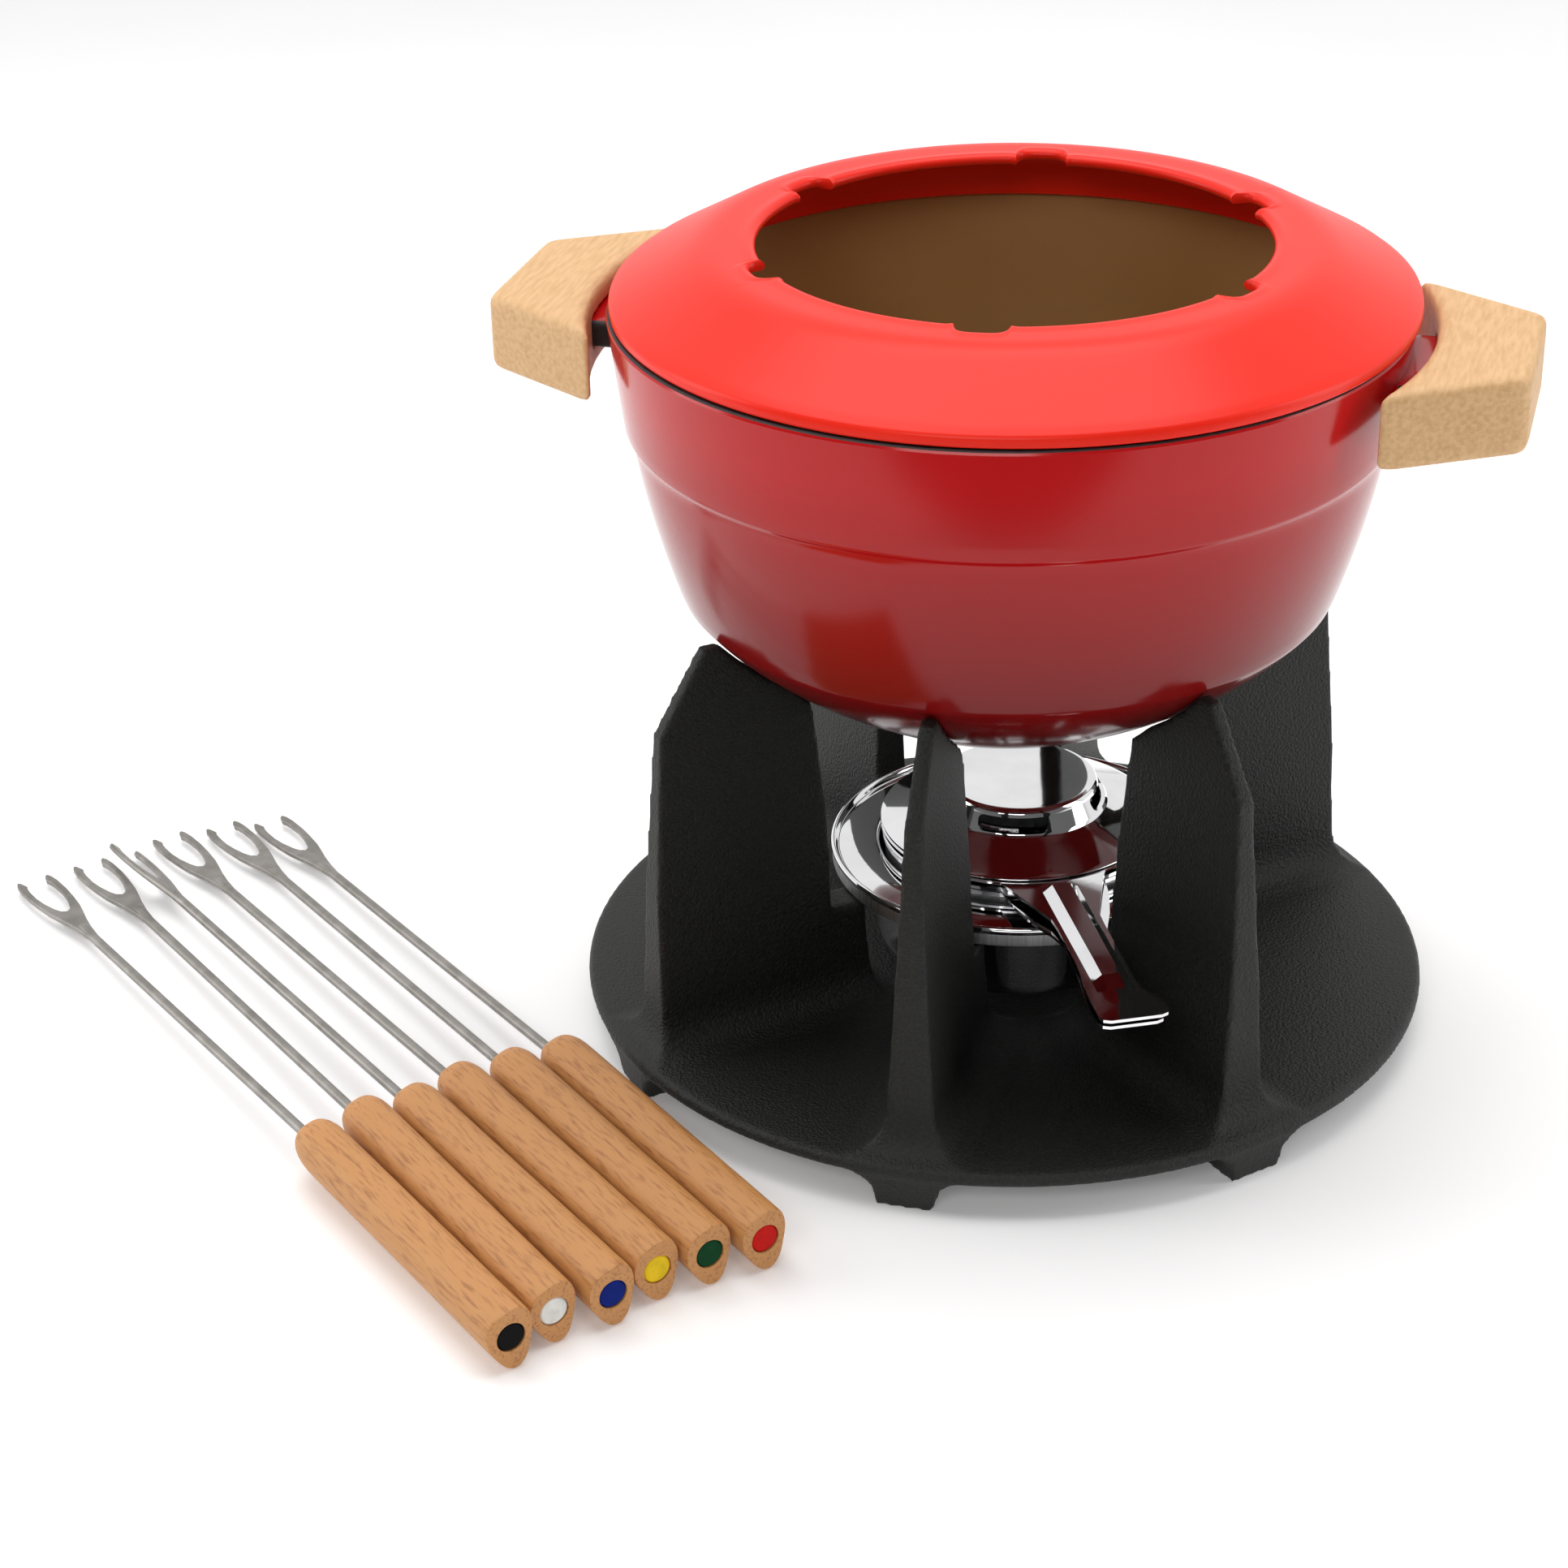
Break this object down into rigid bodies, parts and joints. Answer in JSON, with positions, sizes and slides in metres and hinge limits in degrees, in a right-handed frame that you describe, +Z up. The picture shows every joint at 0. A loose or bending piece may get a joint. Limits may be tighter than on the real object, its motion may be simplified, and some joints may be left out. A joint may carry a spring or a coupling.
{
  "type": "fondue pot set",
  "caption": "Enamelled fondue pot with wooden handles and a notched fork-rest ring, on a finned cast stand over a gel burner, with colour-marked forks beside it.",
  "frame": {"origin": "on the table, under the middle of the whole set's footprint", "axes": "+Z up; +X to the right along the set's length, from the forks towards the pot; +Y away from the front"},
  "size_m": [0.4258, 0.2996, 0.2184],
  "materials": {
    "cast_iron_black": "fine matt black coating over a cast texture",
    "cherry_enamel": "glossy deep red enamel outside, satin beige-brown enamel inside, bare dark rim",
    "red_enamel": "satin bright red enamel",
    "beech": "fine-grained pale beech, lightly oiled",
    "fork_beech": "beech with dark flecks",
    "polished_steel": "mirror polish",
    "can_aluminium": "plain satin",
    "fork_steel": "satin",
    "screw_steel": "satin",
    "dot_black": "satin black",
    "dot_white": "satin white",
    "dot_blue": "satin blue",
    "dot_yellow": "satin yellow",
    "dot_green": "satin dark green",
    "dot_red": "satin red"
  },
  "bodies": {
    "stand": {"stand_casting": "cast_iron_black"},
    "pot": {"pot_body": "cherry_enamel", "handle_left": "beech", "handle_right": "beech", "handle_screw_left": "screw_steel", "handle_screw_right": "screw_steel", "handle_washer_left": "screw_steel", "handle_washer_right": "screw_steel"},
    "fork_rest": {"fork_rest_ring": "red_enamel"},
    "burner": {"burner_dish": "polished_steel"},
    "can": {"fuel_can": "can_aluminium"},
    "cover": {"burner_cover": "polished_steel", "cover_handle": "polished_steel"},
    "regulator": {"air_regulator": "polished_steel", "regulator_sleeve": "polished_steel"},
    "fork_black": {"fork_handle_black": "fork_beech", "fork_prongs_black": "fork_steel", "fork_dot_black": "dot_black"},
    "fork_white": {"fork_handle_white": "fork_beech", "fork_prongs_white": "fork_steel", "fork_dot_white": "dot_white"},
    "fork_blue": {"fork_handle_blue": "fork_beech", "fork_prongs_blue": "fork_steel", "fork_dot_blue": "dot_blue"},
    "fork_yellow": {"fork_handle_yellow": "fork_beech", "fork_prongs_yellow": "fork_steel", "fork_dot_yellow": "dot_yellow"},
    "fork_green": {"fork_handle_green": "fork_beech", "fork_prongs_green": "fork_steel", "fork_dot_green": "dot_green"},
    "fork_red": {"fork_handle_red": "fork_beech", "fork_prongs_red": "fork_steel", "fork_dot_red": "dot_red"}
  },
  "joints": [
    {"name": "pot_lift", "type": "slide", "parent": "stand", "child": "pot", "axis": [0, 0, 1], "range_m": [0, 0.15]},
    {"name": "ring_lift", "type": "slide", "parent": "pot", "child": "fork_rest", "axis": [0, 0, 1], "range_m": [0, 0.08]},
    {"name": "burner_lift", "type": "slide", "parent": "stand", "child": "burner", "axis": [0, 0, 1], "range_m": [0, 0.009]},
    {"name": "can_lift", "type": "slide", "parent": "burner", "child": "can", "axis": [0, 0, 1], "range_m": [0, 0.009]},
    {"name": "cover_lift", "type": "slide", "parent": "can", "child": "cover", "axis": [0, 0, 1], "range_m": [0, 0.009]},
    {"name": "regulator_turn", "type": "hinge", "parent": "cover", "child": "regulator", "pos_m": [0.0835, 0.0344, 0.0505], "axis": [0, 0, 1], "range_deg": [-14, 0]},
    {"name": "fork_black_lift", "type": "slide", "parent": "stand", "child": "fork_black", "axis": [0, 0, 1], "range_m": [0, 0.1]},
    {"name": "fork_white_lift", "type": "slide", "parent": "stand", "child": "fork_white", "axis": [0, 0, 1], "range_m": [0, 0.1]},
    {"name": "fork_blue_lift", "type": "slide", "parent": "stand", "child": "fork_blue", "axis": [0, 0, 1], "range_m": [0, 0.1]},
    {"name": "fork_yellow_lift", "type": "slide", "parent": "stand", "child": "fork_yellow", "axis": [0, 0, 1], "range_m": [0, 0.1]},
    {"name": "fork_green_lift", "type": "slide", "parent": "stand", "child": "fork_green", "axis": [0, 0, 1], "range_m": [0, 0.1]},
    {"name": "fork_red_lift", "type": "slide", "parent": "stand", "child": "fork_red", "axis": [0, 0, 1], "range_m": [0, 0.1]}
  ]
}
